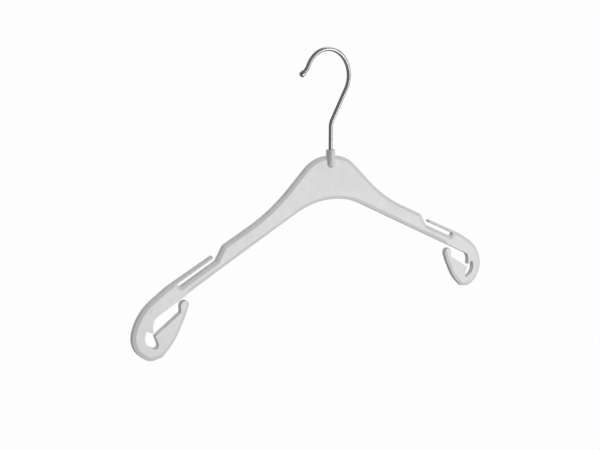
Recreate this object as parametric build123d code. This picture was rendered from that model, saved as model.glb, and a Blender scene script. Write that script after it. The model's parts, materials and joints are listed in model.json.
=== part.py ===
# Contoured plastic clothes hanger with a swivelling steel wire hook.
# Millimetres. X runs along the arms, +Z is up and -Y is the front.
# It is drawn with the hook's turning axis at X = Y = 0 and the crown of the body at Z = 0.
# Both pieces are then shifted, so that the origin is where the hook rests on a rail.
import math
import os

from build123d import *

os.makedirs("parts", exist_ok=True)

# ---- plate section --------------------------------------------------------
front_y = -1.0        # front face at the middle of the hanger
back_y = 3.8          # back face at the middle of the hanger
sweep_forward = 5.35  # how far the arm ends lean to the front
half_width = 205.0    # where sweep_forward is measured
bevel_in = 3.2        # width of the front bevel, measured across the face
bevel_deep = 1.1      # depth of the front bevel

# ---- outline corners of the right half: (x, z, corner radius) --------------
crown = (17.7, 0.0, 36.0)
shoulder_dip = (66.3, -45.0, 165.0)
step_top = (115.7, -67.8, 5.0)
step_foot = (123.7, -80.2, 1.5)
slot_end_low = (159.4, -96.9, 1.9)
finger_root = (163.4, -91.3, 3.6)
end_high = (172.0, -95.2, 36.0)
end_outer = (198.3, -111.3, 42.0)
end_low = (208.5, -141.0, 21.5)
end_bottom = (189.2, -155.6, 12.0)
lever_foot = (177.5, -153.8, 4.7)
lever_side = (164.9, -141.8, 51.0)
lever_waist = (155.1, -123.3, 12.7)
nose_out = (150.0, -111.0, 4.4)
nose_in = (159.9, -106.8, 4.2)
neck = (159.9, -118.5, 1.3)
throat = (184.4, -133.7, 1.2)
eye_left = (179.8, -147.5, 2.6)
eye_bottom = (186.2, -144.2, 2.4)
eye_right = (194.7, -138.2, 9.0)
barb_inner = (191.9, -127.6, 1.4)
barb_tip = (185.5, -131.5, 0.9)
barb_root = (185.7, -119.8, 8.8)
arch = (20.4, -40.5, 88.0)

# ---- strap finger -------------------------------------------------------------
finger_tip_x = 126.4     # lower corner of the free tip
finger_tip_z = -77.2
finger_grip_x = 178.0    # where the finger has run fully into the arm end
finger_grip_z = -100.9

# ---- neck collar, socket and wire ------------------------------------------
wire_d = 3.8
bore_d = 3.9
collar_d = 8.4
collar_top = 6.0
collar_break = 0.3
socket_straight_z = -7.0
socket_tip_z = -10.8
socket_tip_r = 0.9
head_d = 5.2
head_top_z = -4.5
head_height = 1.8
head_gap = 0.3
witness_d = 1.1
witness_z = -9.6
witness_deep = 1.4

# ---- ejector mark on the left arm end ---------------------------------------
mark_x = -188.7
mark_z = -111.5
mark_d = 3.6
mark_tilt = 9.0      # degrees; one half of the pin's flat end pressed in
mark_turn = -135.0   # degrees; the pressed half points up and to the middle

# ---- hook bends --------------------------------------------------------------
hook_x = -3.6
hook_z = 72.4
hook_r = 23.9
lean = 29.4          # angle of the straight run from the vertical, degrees
lower_bend_r = 12.0
hook_end_angle = 156.0
flare_r = 15.4
flare_sweep = 28.0
knob_d = 4.9
knob_length = 4.6
knob_round = 0.5

# ---- helpers -----------------------------------------------------------------


def toward(a, b, distance):
    """Point at a distance from a on the way to b."""
    span = math.dist(a, b)
    return (a[0] + (b[0] - a[0]) * distance / span, a[1] + (b[1] - a[1]) * distance / span)


def rounded_outline(corners):
    """Closed face in the XZ plane with every corner rounded by its own radius."""
    count = len(corners)
    starts = []
    edges = []
    for i in range(count):
        before = corners[i - 1][:2]
        here = corners[i][:2]
        after = corners[(i + 1) % count][:2]
        radius = corners[i][2]
        heading_in = math.atan2(here[1] - before[1], here[0] - before[0])
        heading_out = math.atan2(after[1] - here[1], after[0] - here[0])
        turn = (heading_out - heading_in + math.pi) % (2 * math.pi) - math.pi
        cut = radius * math.tan(abs(turn) / 2)
        first = toward(here, before, cut)
        last = toward(here, after, cut)
        chord_mid = ((first[0] + last[0]) / 2, (first[1] + last[1]) / 2)
        rise = radius * (1 - math.cos(turn / 2))
        middle = toward(chord_mid, here, rise)
        starts.append((first, middle, last))
    for i in range(count):
        first, middle, last = starts[i]
        previous_last = starts[i - 1][2]
        points = [(p[0], 0, p[1]) for p in (previous_last, first, middle, last)]
        if math.dist(previous_last, first) > 0.01:
            edges.append(Line(points[0], points[1]))
        edges.append(ThreePointArc(points[1], points[2], points[3]))
    return make_face(Wire(edges))


def mirrored(corners):
    """Right-half corners followed by their left-half twins."""
    return corners + [(-x, z, r) for x, z, r in reversed(corners)]


def prism(face):
    """Face run far out to the front and to the back."""
    return extrude(face, 40, dir=(0, 1, 0), both=True)


def bowed_slab():
    """Plate-thick sheet whose two ends lean to the front."""
    reach = half_width + 15
    lean_out = sweep_forward * (reach / half_width) ** 2
    front = ThreePointArc((-reach, front_y - lean_out, 0), (0, front_y, 0), (reach, front_y - lean_out, 0))
    back = ThreePointArc((reach, back_y - lean_out, 0), (0, back_y, 0), (-reach, back_y - lean_out, 0))
    right = Line(front @ 1, back @ 0)
    left = Line(back @ 1, front @ 0)
    sheet = make_face(Wire([front, right, back, left]))
    return Pos(0, 0, -200) * extrude(sheet, 260, dir=(0, 0, 1))


def on_underside(x):
    """Point on the straight underside of the right arm."""
    slope = (barb_root[1] - arch[1]) / (barb_root[0] - arch[0])
    return (x, arch[1] + slope * (x - arch[0]))


def front_edges(solid):
    """Edges that lie on the bowed front face."""
    chosen = []
    for edge in solid.edges():
        points = [edge @ 0, edge @ 0.5, edge @ 1]
        depths = [front_y - sweep_forward * (p.X / half_width) ** 2 for p in points]
        if all(abs(p.Y - depth) < 0.03 for p, depth in zip(points, depths)):
            chosen.append(edge)
    return chosen


def bevelled_plate(corners):
    """Bowed plate of the given outline with its front edge bevelled all round."""
    plate = prism(rounded_outline(corners)) & bowed_slab()
    large = [face for face in plate.faces() if face.area > 0.3 * plate.volume / (back_y - front_y)]
    front = min(large, key=lambda face: face.center().Y)
    return chamfer(front_edges(plate), bevel_in, bevel_deep, reference=front)


# ---- body ----------------------------------------------------------------------
mouth_corner = (*on_underside(149.9), 2.2)
nose_side = (nose_out[0], nose_out[1], 6.0)
arm_end = [
    end_high, end_outer, end_low, end_bottom, lever_foot, lever_side, lever_waist, nose_side, mouth_corner,
]
main_corners = [crown, shoulder_dip, step_top, step_foot, slot_end_low, finger_root] + arm_end + [arch]
body = bevelled_plate(mirrored(main_corners))

# The finger is the outer strip of a plate end whose strap slot is not yet open.
outer_slope = (end_high[1] - finger_root[1]) / (end_high[0] - finger_root[0])
strip_start = (112.0, end_high[1] + outer_slope * (112.0 - end_high[0]), 4.0)
whole_end = bevelled_plate([strip_start] + arm_end + [(*on_underside(112.0), 4.0)])
finger_shape = [
    (finger_tip_x, finger_tip_z, 1.2),
    (finger_tip_x + 1.4, finger_tip_z + 3.1, 1.9),
    (finger_grip_x + 3.0, finger_grip_z + 6.7, 0.5),
    (finger_grip_x, finger_grip_z, 0.5),
]
finger = whole_end & prism(rounded_outline(finger_shape))
body = body + finger + mirror(finger, about=Plane.YZ)

# Mouth, throat and eye of the loop hook below each arm end.
nose_exit = toward(nose_out, lever_waist, 4.7)
mouth_shape = [
    (*on_underside(145.0), 0.3),
    barb_root, barb_tip, barb_inner, eye_right, eye_bottom, eye_left, throat, neck, nose_in, nose_out,
    (*nose_exit, 0.3),
    (145.0, nose_exit[1], 0.3),
]
mouth = prism(rounded_outline(mouth_shape))
body = body - mouth - mirror(mouth, about=Plane.YZ)

# Round neck collar that runs down into a bullet-shaped socket on the face.
collar_r = collar_d / 2
side_top = (collar_r, 0, collar_top - collar_break)
side_foot = (collar_r, 0, socket_straight_z)
nose_tip = (socket_tip_r, 0, socket_tip_z)
bullet_mid = (0.78 * collar_r, 0, 0.42 * socket_straight_z + 0.58 * socket_tip_z)
socket_profile = make_face(
    Wire(
        [
            Line((0, 0, collar_top), (collar_r - collar_break, 0, collar_top)),
            Line((collar_r - collar_break, 0, collar_top), side_top),
            Line(side_top, side_foot),
            ThreePointArc(side_foot, bullet_mid, nose_tip),
            Line(nose_tip, (0, 0, socket_tip_z)),
            Line((0, 0, socket_tip_z), (0, 0, collar_top)),
        ]
    )
)
body = body + revolve(socket_profile, Axis.Z)

# Running bore for the wire, chamber for its head, and a small witness hole.
chamber_top = head_top_z + head_gap
chamber_foot = head_top_z - head_height - head_gap
chamber_d = head_d + 2 * head_gap
bore_length = collar_top - chamber_top + 1
chamber_height = chamber_top - chamber_foot
body = body - Pos(0, 0, chamber_top + bore_length / 2) * Cylinder(bore_d / 2, bore_length)
body = body - Pos(0, 0, (chamber_top + chamber_foot) / 2) * Cylinder(chamber_d / 2, chamber_height)
witness = Rot(90, 0, 0) * Cylinder(witness_d / 2, 10)
body = body - Pos(0, front_y + witness_deep - 5, witness_z) * witness

# Half-moon mark where an ejector pin's end stood slightly askew.
mark_face = front_y - sweep_forward * (mark_x / half_width) ** 2
mark = Rot(0, mark_turn, 0) * Rot(90 + mark_tilt, 0, 0) * Pos(0, 0, 1) * Cylinder(mark_d / 2, 2)
body = body - Pos(mark_x, mark_face, mark_z) * mark

# ---- hook ------------------------------------------------------------------------


def on_circle(cx, cz, radius, degrees):
    """Point on a circle in the XZ plane."""
    return (cx + radius * math.cos(math.radians(degrees)), 0, cz + radius * math.sin(math.radians(degrees)))


run_top = on_circle(hook_x, hook_z, hook_r, -lean)
run_length = run_top[0] / math.sin(math.radians(lean))
bend_z = run_top[2] - run_length * math.cos(math.radians(lean))
bend_cut = lower_bend_r * math.tan(math.radians(lean / 2))
bend_start = (0, 0, bend_z - bend_cut)
bend_end = (bend_cut * math.sin(math.radians(lean)), 0, bend_z + bend_cut * math.cos(math.radians(lean)))
bend_mid = on_circle(lower_bend_r, bend_start[2], lower_bend_r, 180 - lean / 2)
arc_mid = on_circle(hook_x, hook_z, hook_r, (hook_end_angle - lean) / 2)
arc_end = on_circle(hook_x, hook_z, hook_r, hook_end_angle)
flare_centre = on_circle(hook_x, hook_z, hook_r + flare_r, hook_end_angle)
flare_start_angle = hook_end_angle - 180
flare_mid = on_circle(flare_centre[0], flare_centre[2], flare_r, flare_start_angle - flare_sweep / 2)
flare_end = on_circle(flare_centre[0], flare_centre[2], flare_r, flare_start_angle - flare_sweep)
wire_path = Wire(
    [
        Line((0, 0, head_top_z - 0.5), bend_start),
        ThreePointArc(bend_start, bend_mid, bend_end),
        Line(bend_end, run_top),
        ThreePointArc(run_top, arc_mid, arc_end),
        ThreePointArc(arc_end, flare_mid, flare_end),
    ]
)
wire_section = Plane(origin=(0, 0, head_top_z - 0.5), z_dir=(0, 0, 1)) * Circle(wire_d / 2)
wire = sweep(wire_section, path=wire_path)
head = Pos(0, 0, head_top_z - head_height / 2) * Cylinder(head_d / 2, head_height)
knob = Cylinder(knob_d / 2, knob_length)
knob = fillet(knob.edges().filter_by(GeomType.CIRCLE), knob_round)
knob_plane = Plane(origin=flare_end, z_dir=wire_path % 1)
hook = wire + head + knob_plane * Pos(0, 0, knob_length / 2 - 0.2) * knob

# ---- origin at the rail seat, the inner top of the hook -------------------------
rail_seat_z = hook_z + hook_r - wire_d / 2
shift = Pos(-hook_x, 0, -rail_seat_z)
export_step(shift * body, "parts/hanger_body.step")
export_step(shift * hook, "parts/swivel_hook.step")
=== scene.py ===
import json
import math

import bmesh
import bpy
from mathutils import Matrix, Vector


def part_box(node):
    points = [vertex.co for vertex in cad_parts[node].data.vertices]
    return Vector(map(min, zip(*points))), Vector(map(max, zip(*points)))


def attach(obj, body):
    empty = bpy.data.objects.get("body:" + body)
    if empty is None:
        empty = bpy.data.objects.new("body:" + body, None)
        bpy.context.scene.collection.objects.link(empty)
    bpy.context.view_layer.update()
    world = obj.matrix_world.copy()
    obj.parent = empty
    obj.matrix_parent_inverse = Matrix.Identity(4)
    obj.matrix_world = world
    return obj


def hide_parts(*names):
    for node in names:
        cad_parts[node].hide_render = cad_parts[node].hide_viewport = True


MM = 0.001

# ---- camera ---------------------------------------------------------------------
CAMERA_AZIMUTH = 35.762     # degrees that the camera stands to the left of the front
CAMERA_ELEVATION = 12.389   # degrees above the horizon
CAMERA_ROLL = 0.04          # degrees
CAMERA_DISTANCE = 0.729664
CAMERA_TARGET = Vector((-0.03037, 0.00079, -0.15504))
LENS = 48.0
SENSOR = 36.0

# ---- studio ---------------------------------------------------------------------
STUDIO_CENTRE = Vector((0.0, 0.0, -0.17))
FLOOR_Z = -1.25
SWEEP_RADIUS = 5.0
FLAT_SHARE = 0.6            # of the sweep's radius that is flat floor
CURVE_SHARE = 0.4           # of the sweep's radius that the curve up takes
CURVE_STEPS = 24
SWEEP_SIDES = 96
SWEEP_GLOW = 0.985
WORLD_STRENGTH = 0.30
# name, azimuth, elevation, distance, width, height, watts, seen in reflections
LIGHTS = (
    ("key", 31.0, -13.0, 2.6, 1.7, 1.45, 42.0, True),
    ("back_left", -145.0, 42.0, 3.0, 1.8, 1.4, 26.0, False),
    ("high_right", 105.0, 50.0, 3.0, 2.6, 1.4, 34.0, True),
)

# ---- colours -------------------------------------------------------------------------
PLASTIC_DARK = (0.70, 0.70, 0.697)
PLASTIC_LIGHT = (0.735, 0.735, 0.732)
STEEL_DARK = (0.36, 0.36, 0.365)
STEEL_LIGHT = (0.43, 0.43, 0.435)

# ---- body mesh --------------------------------------------------------------------
VOXEL = 0.33 * MM
EDGE_SMOOTHING = 3

# ---- wire hook ----------------------------------------------------------------------
WIRE_R = 1.9 * MM
HOOK_R = 23.9 * MM
LEAN = math.radians(29.4)
LOWER_BEND_R = 12.0 * MM
HOOK_END = math.radians(156.0)
FLARE_R = 15.4 * MM
FLARE_SWEEP = math.radians(28.0)
KNOB_R = 2.45 * MM
KNOB_LENGTH = 4.4 * MM
KNOB_ROUND = 0.5 * MM
GROOVE_R = 1.7 * MM
GROOVE_START = 0.05 * MM
GROOVE_END = 0.25 * MM
HEAD_R = 2.6 * MM
HEAD_LENGTH = 1.8 * MM
HEAD_ROUND = 0.3 * MM
WIRE_SIDES = 48
ARC_STEP = 0.8 * MM


# ---- helpers -------------------------------------------------------------------------
def direction(azimuth, elevation):
    """Unit vector; azimuth 0 is the front (-Y) and 90 is +X, in degrees."""
    az = math.radians(azimuth)
    el = math.radians(elevation)
    return Vector((math.sin(az) * math.cos(el), -math.cos(az) * math.cos(el), math.sin(el)))


def link(obj):
    bpy.context.scene.collection.objects.link(obj)
    return obj


def add_camera():
    back = direction(-CAMERA_AZIMUTH, CAMERA_ELEVATION)
    data = bpy.data.cameras.new("camera")
    data.lens = LENS
    data.sensor_width = SENSOR
    data.clip_start = 0.01
    data.clip_end = 50
    camera = link(bpy.data.objects.new("camera", data))
    camera.location = CAMERA_TARGET + back * CAMERA_DISTANCE
    turn = back.to_track_quat("Z", "Y").to_matrix().to_4x4()
    roll = Matrix.Rotation(math.radians(CAMERA_ROLL), 4, "Z")
    camera.rotation_euler = (turn @ roll).to_euler()
    bpy.context.scene.camera = camera


def emitting(name, strength):
    """Plain material that shines evenly, for the studio's surfaces."""
    material = bpy.data.materials.new(name)
    material.use_nodes = True
    tree = material.node_tree
    tree.nodes.clear()
    shader = tree.nodes.new("ShaderNodeEmission")
    shader.inputs["Strength"].default_value = strength
    output = tree.nodes.new("ShaderNodeOutputMaterial")
    tree.links.new(shader.outputs[0], output.inputs["Surface"])
    return material


def add_lights():
    for name, azimuth, elevation, distance, width, height, watts, reflected in LIGHTS:
        toward = direction(azimuth, elevation)
        data = bpy.data.lights.new(name, "AREA")
        data.shape = "RECTANGLE"
        data.size = width
        data.size_y = height
        data.energy = watts
        light = link(bpy.data.objects.new(name, data))
        light.location = STUDIO_CENTRE + toward * distance
        light.rotation_euler = toward.to_track_quat("Z", "Y").to_euler()
        light.visible_camera = False
        light.visible_glossy = reflected


def add_world():
    world = bpy.data.worlds.new("studio")
    world.use_nodes = True
    background = world.node_tree.nodes["Background"]
    background.inputs["Color"].default_value = (1, 1, 1, 1)
    background.inputs["Strength"].default_value = WORLD_STRENGTH
    bpy.context.scene.world = world


def add_sweep():
    """Pale floor that curves up into a dome all round, seen by the camera only."""
    bm = bmesh.new()
    rings = []
    profile = [(FLAT_SHARE * SWEEP_RADIUS, 0.0)]
    for i in range(1, CURVE_STEPS + 1):
        a = math.radians(90 * i / CURVE_STEPS)
        radius = SWEEP_RADIUS * (FLAT_SHARE + CURVE_SHARE * math.sin(a))
        profile.append((radius, CURVE_SHARE * SWEEP_RADIUS * (1 - math.cos(a))))
    top = profile[-1][1]
    for i in range(1, CURVE_STEPS):
        a = math.radians(90 * i / CURVE_STEPS)
        profile.append((SWEEP_RADIUS * math.cos(a), top + SWEEP_RADIUS * math.sin(a)))
    for radius, height in profile:
        ring = []
        for k in range(SWEEP_SIDES):
            a = 2 * math.pi * k / SWEEP_SIDES
            place = (radius * math.cos(a), radius * math.sin(a), FLOOR_Z + height)
            ring.append(bm.verts.new(place))
        rings.append(ring)
    bm.faces.new(rings[0])
    bm.faces.new(list(reversed(rings[-1])))
    for low, high in zip(rings, rings[1:]):
        for k in range(SWEEP_SIDES):
            n = (k + 1) % SWEEP_SIDES
            bm.faces.new((low[k], low[n], high[n], high[k]))
    mesh = bpy.data.meshes.new("sweep")
    bm.to_mesh(mesh)
    bm.free()
    mesh.shade_smooth()
    sweep = link(bpy.data.objects.new("sweep", mesh))
    mesh.materials.append(emitting("pale_sweep", SWEEP_GLOW))
    for kind in ("visible_diffuse", "visible_glossy", "visible_transmission", "visible_shadow"):
        setattr(sweep, kind, False)


# ---- materials --------------------------------------------------------------------------
def new_material(name):
    material = bpy.data.materials.new(name)
    material.use_nodes = True
    tree = material.node_tree
    return material, tree, tree.nodes["Principled BSDF"]


def noise(tree, coordinates, scale, detail=3.0):
    node = tree.nodes.new("ShaderNodeTexNoise")
    node.inputs["Scale"].default_value = scale
    node.inputs["Detail"].default_value = detail
    tree.links.new(coordinates, node.inputs["Vector"])
    return node.outputs["Fac"]


def remap(tree, value, low, high, start=0.3, end=0.7):
    node = tree.nodes.new("ShaderNodeMapRange")
    node.inputs["From Min"].default_value = start
    node.inputs["From Max"].default_value = end
    node.inputs["To Min"].default_value = low
    node.inputs["To Max"].default_value = high
    tree.links.new(value, node.inputs["Value"])
    return node.outputs["Result"]


def mix_colour(tree, value, a, b):
    node = tree.nodes.new("ShaderNodeMix")
    node.data_type = "RGBA"
    node.inputs["A"].default_value = (*a, 1)
    node.inputs["B"].default_value = (*b, 1)
    tree.links.new(value, node.inputs["Factor"])
    return node.outputs["Result"]


def bump(tree, height, strength, distance, normal=None):
    node = tree.nodes.new("ShaderNodeBump")
    node.inputs["Strength"].default_value = strength
    node.inputs["Distance"].default_value = distance
    tree.links.new(height, node.inputs["Height"])
    if normal is not None:
        tree.links.new(normal, node.inputs["Normal"])
    return node.outputs["Normal"]


def satin_plastic():
    material, tree, shader = new_material("satin_plastic")
    coords = tree.nodes.new("ShaderNodeTexCoord").outputs["Object"]
    shade = remap(tree, noise(tree, coords, 28.0), 0.0, 1.0)
    colour = mix_colour(tree, shade, PLASTIC_DARK, PLASTIC_LIGHT)
    tree.links.new(colour, shader.inputs["Base Color"])
    tree.links.new(remap(tree, noise(tree, coords, 160.0), 0.31, 0.39), shader.inputs["Roughness"])
    wave = bump(tree, noise(tree, coords, 45.0, 1.0), 0.25, 0.0002)
    grain = bump(tree, noise(tree, coords, 700.0, 1.0), 0.1, 0.00001, wave)
    tree.links.new(grain, shader.inputs["Normal"])
    return material


def polished_steel():
    material, tree, shader = new_material("polished_steel")
    shader.inputs["Metallic"].default_value = 1.0
    coords = tree.nodes.new("ShaderNodeTexCoord").outputs["UV"]
    stretch = tree.nodes.new("ShaderNodeMapping")
    stretch.inputs["Scale"].default_value = (16.0, 0.5, 1.0)
    tree.links.new(coords, stretch.inputs["Vector"])
    streaks = noise(tree, stretch.outputs["Vector"], 1.0, 4.0)
    tree.links.new(remap(tree, streaks, 0.33, 0.41), shader.inputs["Roughness"])
    colour = mix_colour(tree, streaks, STEEL_DARK, STEEL_LIGHT)
    tree.links.new(colour, shader.inputs["Base Color"])
    tree.links.new(bump(tree, streaks, 0.05, 0.00001), shader.inputs["Normal"])
    return material


# ---- body ------------------------------------------------------------------------------------
def add_body(frame, material):
    """The moulding with its edges softened: the CAD skin is resampled evenly and then relaxed."""
    mesh = frame["nodes"]["hanger_body"].data.copy()
    bm = bmesh.new()
    bm.from_mesh(mesh)
    bmesh.ops.remove_doubles(bm, verts=bm.verts, dist=1e-6)
    bm.to_mesh(mesh)
    bm.free()
    rough = link(bpy.data.objects.new("rough", mesh))
    remesh = rough.modifiers.new("even_skin", "REMESH")
    remesh.mode = "VOXEL"
    remesh.voxel_size = VOXEL
    remesh.use_smooth_shade = True
    relax = rough.modifiers.new("relax", "SMOOTH")
    relax.factor = 0.5
    relax.iterations = EDGE_SMOOTHING
    depsgraph = bpy.context.evaluated_depsgraph_get()
    final = bpy.data.meshes.new_from_object(rough.evaluated_get(depsgraph), depsgraph=depsgraph)
    bpy.data.objects.remove(rough)
    body = link(bpy.data.objects.new("moulded_body", final))
    final.materials.clear()
    final.materials.append(material)
    final.shade_smooth()
    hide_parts("hanger_body")
    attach(body, "hanger")


# ---- hook ------------------------------------------------------------------------------------
def hook_path(axis_x, foot_z):
    """Centre line of the wire in the XZ plane: a list of (point, tangent), foot to tip."""
    centre_z = -(HOOK_R - WIRE_R)
    run_top = (HOOK_R * math.cos(-LEAN), centre_z + HOOK_R * math.sin(-LEAN))
    run_length = (run_top[0] - axis_x) / math.sin(LEAN)
    bend_z = run_top[1] - run_length * math.cos(LEAN)
    bend_cut = LOWER_BEND_R * math.tan(LEAN / 2)
    path = []

    def line(x0, z0, x1, z1):
        length = math.hypot(x1 - x0, z1 - z0)
        count = max(2, round(length / (2 * ARC_STEP)))
        tangent = Vector(((x1 - x0) / length, 0, (z1 - z0) / length))
        for i in range(count):
            t = i / count
            path.append((Vector((x0 + (x1 - x0) * t, 0, z0 + (z1 - z0) * t)), tangent))

    def arc(cx, cz, radius, start, end):
        count = max(4, round(abs(end - start) * radius / ARC_STEP))
        side = 1 if end > start else -1
        for i in range(count):
            a = start + (end - start) * i / count
            point = Vector((cx + radius * math.cos(a), 0, cz + radius * math.sin(a)))
            path.append((point, Vector((-math.sin(a) * side, 0, math.cos(a) * side))))

    line(axis_x, foot_z, axis_x, bend_z - bend_cut)
    arc(axis_x + LOWER_BEND_R, bend_z - bend_cut, LOWER_BEND_R, math.pi, math.pi - LEAN)
    bend_end = (axis_x + bend_cut * math.sin(LEAN), bend_z + bend_cut * math.cos(LEAN))
    line(*bend_end, *run_top)
    arc(0, centre_z, HOOK_R, -LEAN, HOOK_END)
    reach = HOOK_R + FLARE_R
    flare_x = reach * math.cos(HOOK_END)
    flare_z = centre_z + reach * math.sin(HOOK_END)
    start = HOOK_END - math.pi
    arc(flare_x, flare_z, FLARE_R, start, start - FLARE_SWEEP)
    a = start - FLARE_SWEEP
    tip = Vector((flare_x + FLARE_R * math.cos(a), 0, flare_z + FLARE_R * math.sin(a)))
    path.append((tip, Vector((math.sin(a), 0, -math.cos(a)))))
    return path


def rounded_step(radius, start, end, rounding):
    """(distance, radius) pairs of a plain collar with both rims rounded."""
    pairs = []
    for i in range(7):
        a = math.radians(15 * i)
        pairs.append((start + rounding * (1 - math.cos(a)), radius - rounding * (1 - math.sin(a))))
    for i in range(7):
        a = math.radians(15 * i)
        pairs.append((end - rounding * (1 - math.sin(a)), radius - rounding * (1 - math.cos(a))))
    return pairs


def add_hook(frame, material):
    axis_x = frame["joints"][0]["pos_m"][0]
    foot_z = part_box("swivel_hook")[0].z
    path = hook_path(axis_x, foot_z)
    stations = []
    for distance, radius in rounded_step(HEAD_R, 0, HEAD_LENGTH, HEAD_ROUND):
        stations.append((path[0][0] + path[0][1] * distance, path[0][1], radius))
    stations += [(p, t, WIRE_R) for p, t in path if p.z > foot_z + HEAD_LENGTH]
    tip, tangent = path[-1]
    stations.append((tip + tangent * GROOVE_START, tangent, GROOVE_R))
    stations.append((tip + tangent * GROOVE_END, tangent, GROOVE_R))
    for distance, radius in rounded_step(KNOB_R, GROOVE_END, KNOB_LENGTH, KNOB_ROUND):
        stations.append((tip + tangent * distance, tangent, radius))

    bm = bmesh.new()
    uv = bm.loops.layers.uv.new("along_wire")
    across = Vector((0, 1, 0))
    rings = []
    travelled = 0.0
    lengths = []
    for i, (point, along, radius) in enumerate(stations):
        if i:
            travelled += (point - stations[i - 1][0]).length
        lengths.append(travelled)
        outward = across.cross(along)
        ring = []
        for k in range(WIRE_SIDES):
            a = 2 * math.pi * k / WIRE_SIDES
            spoke = across * math.cos(a) + outward * math.sin(a)
            ring.append(bm.verts.new(point + spoke * radius))
        rings.append(ring)
    for i in range(len(rings) - 1):
        for k in range(WIRE_SIDES):
            n = (k + 1) % WIRE_SIDES
            face = bm.faces.new((rings[i][k], rings[i][n], rings[i + 1][n], rings[i + 1][k]))
            corners = ((k, i), (k + 1, i), (k + 1, i + 1), (k, i + 1))
            for loop, (side, row) in zip(face.loops, corners):
                loop[uv].uv = (side / WIRE_SIDES, lengths[row] * 20)
    bm.faces.new(list(reversed(rings[0])))
    bm.faces.new(rings[-1])
    bmesh.ops.recalc_face_normals(bm, faces=bm.faces)
    mesh = bpy.data.meshes.new("wire_hook")
    bm.to_mesh(mesh)
    bm.free()
    mesh.shade_smooth()
    mesh.set_sharp_from_angle(angle=math.radians(50))
    mesh.materials.append(material)
    hook = link(bpy.data.objects.new("wire_hook", mesh))
    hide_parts("swivel_hook")
    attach(hook, "hook")


# ---- scene -------------------------------------------------------------------------------------
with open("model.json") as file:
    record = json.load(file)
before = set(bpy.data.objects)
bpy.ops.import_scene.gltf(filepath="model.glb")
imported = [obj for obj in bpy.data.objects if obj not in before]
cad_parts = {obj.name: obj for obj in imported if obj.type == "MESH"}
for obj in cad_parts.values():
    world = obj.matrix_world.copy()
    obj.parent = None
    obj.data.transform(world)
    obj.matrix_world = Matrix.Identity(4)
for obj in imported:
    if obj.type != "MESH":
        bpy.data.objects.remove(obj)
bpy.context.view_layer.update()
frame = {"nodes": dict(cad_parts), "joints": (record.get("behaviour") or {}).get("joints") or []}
bpy.context.scene.view_settings.view_transform = "Standard"
add_camera()
add_world()
add_lights()
add_sweep()
add_body(frame, satin_plastic())
add_hook(frame, polished_steel())
